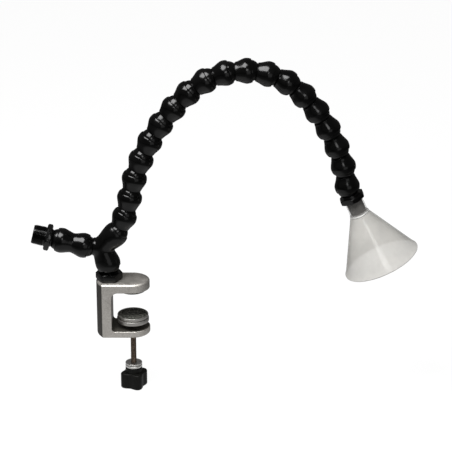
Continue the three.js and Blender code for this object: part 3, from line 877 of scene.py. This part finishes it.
# Hood
# A thin funnel moulded in milky translucent plastic, with a round lip at its mouth. Its neck is pushed
# over the thread, which shows through it.
hood_wall = 0.0014
hood_gap = 0.0006
hood_neck_length = 0.0212
hood_cone_length = 0.0794
hood_fit = 0.0003
hood_neck_start = flange_start + flange_thickness + hood_gap
hood_neck_end = hood_neck_start + hood_neck_length
hood_mouth = hood_neck_end + hood_cone_length
hood_neck_bore = hood_thread_radius + hood_fit
hood_neck_radius = hood_neck_bore + hood_wall
hood_mouth_radius = 0.055
hood_lip = 0.0011
hood_lip_start = 0.0022
hood_lip_inside = 0.0016
hood_rim = hood_mouth_radius - hood_lip
hood_ledge = flange_start + flange_thickness + hood_thread + hood_fit
hood_ledge_width = 0.0012
hood_ledge_radius = hood_neck_bore - hood_ledge_width
hood_ledge_height = 0.0008
hood_slope = math.atan2(hood_mouth_radius - hood_neck_radius, hood_mouth - hood_neck_end)
wall_across = hood_wall / math.cos(hood_slope)
bead_width = 0.0009
bead_height = 0.0011
bead_middle = hood_neck_end + 0.0005
bead_start = hood_neck_end - 0.0006


def milky_plastic():
    """Natural polythene: see-through enough to show what is behind it, cloudy, with faint draw lines, and a
    painted highlight along the bead at the neck's end.
    """
    material, start, place, link = new_finish("milky_plastic", {"Specular IOR Level": 0.5})
    along = start.vector("DOT_PRODUCT", place, tuple(hood_axis), output="Value")
    reach = along - hood_ball.dot(hood_axis)
    cloud = start.noise(place, scale=38, detail=3, roughness=0.5)
    drawn = start.noise(place, scale=500, detail=2)
    neck = 1 - start.step(reach, hood_neck_end - 0.0012, hood_neck_end + 0.0004)
    crests = start.maths("SINE", (2 * math.pi / thread_pitch) * reach)
    # The next mask is the bead at the neck's end: it is made more opaque there and painted near white, a
    # painted highlight.
    bead_highlight = start.step(reach, hood_neck_end - 0.0008, hood_neck_end) * (
        1 - start.step(reach, hood_neck_end + 0.0012, hood_neck_end + 0.002))
    clouded = start.step(cloud, 0.25, 0.75, at_low=0.62, at_high=0.70)
    link(
        Base_Color=start.ramp(
            0.7 * cloud + 0.6 * bead_highlight,
            (0.25, (0.705, 0.69, 0.655)), (0.5, (0.755, 0.74, 0.70)), (0.95, (0.92, 0.92, 0.9))),
        Alpha=clouded - (0.5 + 0.05 * crests) * neck + 0.3 * bead_highlight,
        Roughness=start.step(drawn, 0.3, 0.7, at_low=0.12, at_high=0.18),
        Normal=start.bump(drawn, distance=0.00003, strength=0.3),
    )
    return material


def cone_wall(start, end, steps=24):
    """Points along a straight wall, close together so that its shading stays straight."""
    shares = [i / steps for i in range(1, steps)]
    return [
        (start[0] + (end[0] - start[0]) * share, start[1] + (end[1] - start[1]) * share) for share in shares]


neck_bead = [
    (hood_neck_radius + bead_width * math.sin(math.radians(a)),
     bead_middle - bead_height * math.cos(math.radians(a)))
    for a in range(30, 151, 20)]
mouth_bead = [
    (hood_rim + hood_lip * math.cos(math.radians(a)),
     hood_mouth - hood_lip + hood_lip * math.sin(math.radians(a)))
    for a in range(-40, 121, 20)]
inner_mouth = (hood_rim - wall_across, hood_mouth - hood_lip_inside)
inner_neck = (hood_neck_radius - wall_across, hood_neck_end + hood_ledge_height)
hood = turn([
    (hood_neck_bore, hood_neck_start),
    (hood_neck_radius, hood_neck_start),
    (hood_neck_radius, bead_start),
    *neck_bead,
    *cone_wall((hood_neck_radius, hood_neck_end), (hood_rim, hood_mouth - hood_lip_start)),
    *mouth_bead,
    inner_mouth,
    *cone_wall(inner_mouth, inner_neck),
    inner_neck,
    (hood_ledge_radius, hood_neck_end),
    (hood_ledge_radius, hood_ledge),
    (hood_neck_bore, hood_ledge),
    (hood_neck_bore, hood_neck_start),
], steps=144)
fit_piece(set_along(hood, hood_ball, hood_axis), "funnel_hood", milky_plastic(), "hood", "hood", crisp=30)

# Floor, light and camera
# A pale floor that keeps a faint shadow, a large softbox high at the left, a small lamp and a low fill at
# the right, in an even room. The camera looks down at the arm from the front.
floor_half = 8
floor_gap = 0.0003
floor_height = knob_low.z - floor_gap
floor_grey = (0.1, 0.1, 0.1, 1)
floor_white = (0.95, 0.95, 0.95)
sheet_middle = (-0.03, -0.14, knob_low.z)
sheet_full, sheet_end = 0.2, 0.5
sheet_gleam, far_gleam = 0.5, 0.03
room_light = 0.1
room_tint = (1, 0.99, 0.97, 1)
arm_middle = (0.12, 0, 0.18)
hood_middle = (0.34, 0, 0.09)
camera_place = (0.1324, -2.6206, 1.1404)
camera_drop_degrees = 21.715
camera_lens = 160.7


def white_paper():
    """Paper that is white to the camera; shiny pieces see it bright near the clamp and dim farther off."""
    material, start, place, link = new_finish("floor_paper", {
        "Base Color": floor_grey, "Roughness": 0.9, "Specular IOR Level": 0.0,
        "Emission Strength": 1})
    off_sheet = start.vector("DISTANCE", place, sheet_middle, output="Value")
    sheet = 1 - start.step(off_sheet, sheet_full, sheet_end)
    camera_ray, glossy_ray, passing_ray = [
        start.node("ShaderNodeLightPath", {}, {}, name)
        for name in ("Is Camera Ray", "Is Glossy Ray", "Is Transmission Ray")]
    seen = camera_ray + glossy_ray * (far_gleam + sheet_gleam * sheet) + passing_ray
    link(Emission_Color=start.ramp(start.maths("MINIMUM", seen, 1.0), (0, (0, 0, 0)), (1, floor_white)))
    return material


floor_shape = bmesh.new()
bmesh.ops.create_grid(
    floor_shape, x_segments=1, y_segments=1, size=floor_half,
    matrix=Matrix.Translation((0, 0, floor_height)))
floor_mesh = bpy.data.meshes.new("floor")
floor_shape.to_mesh(floor_mesh)
floor_shape.free()
floor_mesh.materials.append(white_paper())
floor = bpy.data.objects.new("floor", floor_mesh)
bpy.context.scene.collection.objects.link(floor)

world = bpy.data.worlds.new("room")
world.use_nodes = True
room = Shade(world.node_tree)
room_rays = [
    room.node("ShaderNodeLightPath", {}, {}, name) for name in ("Is Camera Ray", "Is Transmission Ray")]
backdrop = room.maths("MAXIMUM", *room_rays)
brightness = room_light + (1 - room_light) * backdrop
background = world.node_tree.nodes["Background"]
background.inputs["Color"].default_value = room_tint
world.node_tree.links.new(brightness.socket, background.inputs["Strength"])
bpy.context.scene.world = world


def softbox(name, place, target, size, energy):
    """A square lamp that faces a point."""
    lamp = bpy.data.lights.new(name, "AREA")
    lamp.shape, lamp.size, lamp.energy = "SQUARE", size, energy
    stand = bpy.data.objects.new(name, lamp)
    facing = (Vector(target) - Vector(place)).to_track_quat("-Z", "Y").to_matrix().to_4x4()
    stand.matrix_world = Matrix.Translation(place) @ facing
    bpy.context.scene.collection.objects.link(stand)


softbox("key_softbox", (-0.285, -0.405, 1.395), arm_middle, size=0.9, energy=32)
softbox("small_lamp", (0.27, -1.51, 1.06), hood_middle, size=0.46, energy=3.0)
softbox("low_fill", (0.8, -1.9, 0.3), arm_middle, size=1.2, energy=2.8)

camera = bpy.data.cameras.new("camera")
camera.lens, camera.sensor_width = camera_lens, 36
viewer = bpy.data.objects.new("camera", camera)
viewer.location, viewer.rotation_euler = camera_place, (math.radians(90 - camera_drop_degrees), 0, 0)
bpy.context.scene.collection.objects.link(viewer)
bpy.context.scene.camera = viewer
bpy.context.scene.view_settings.view_transform = "Standard"
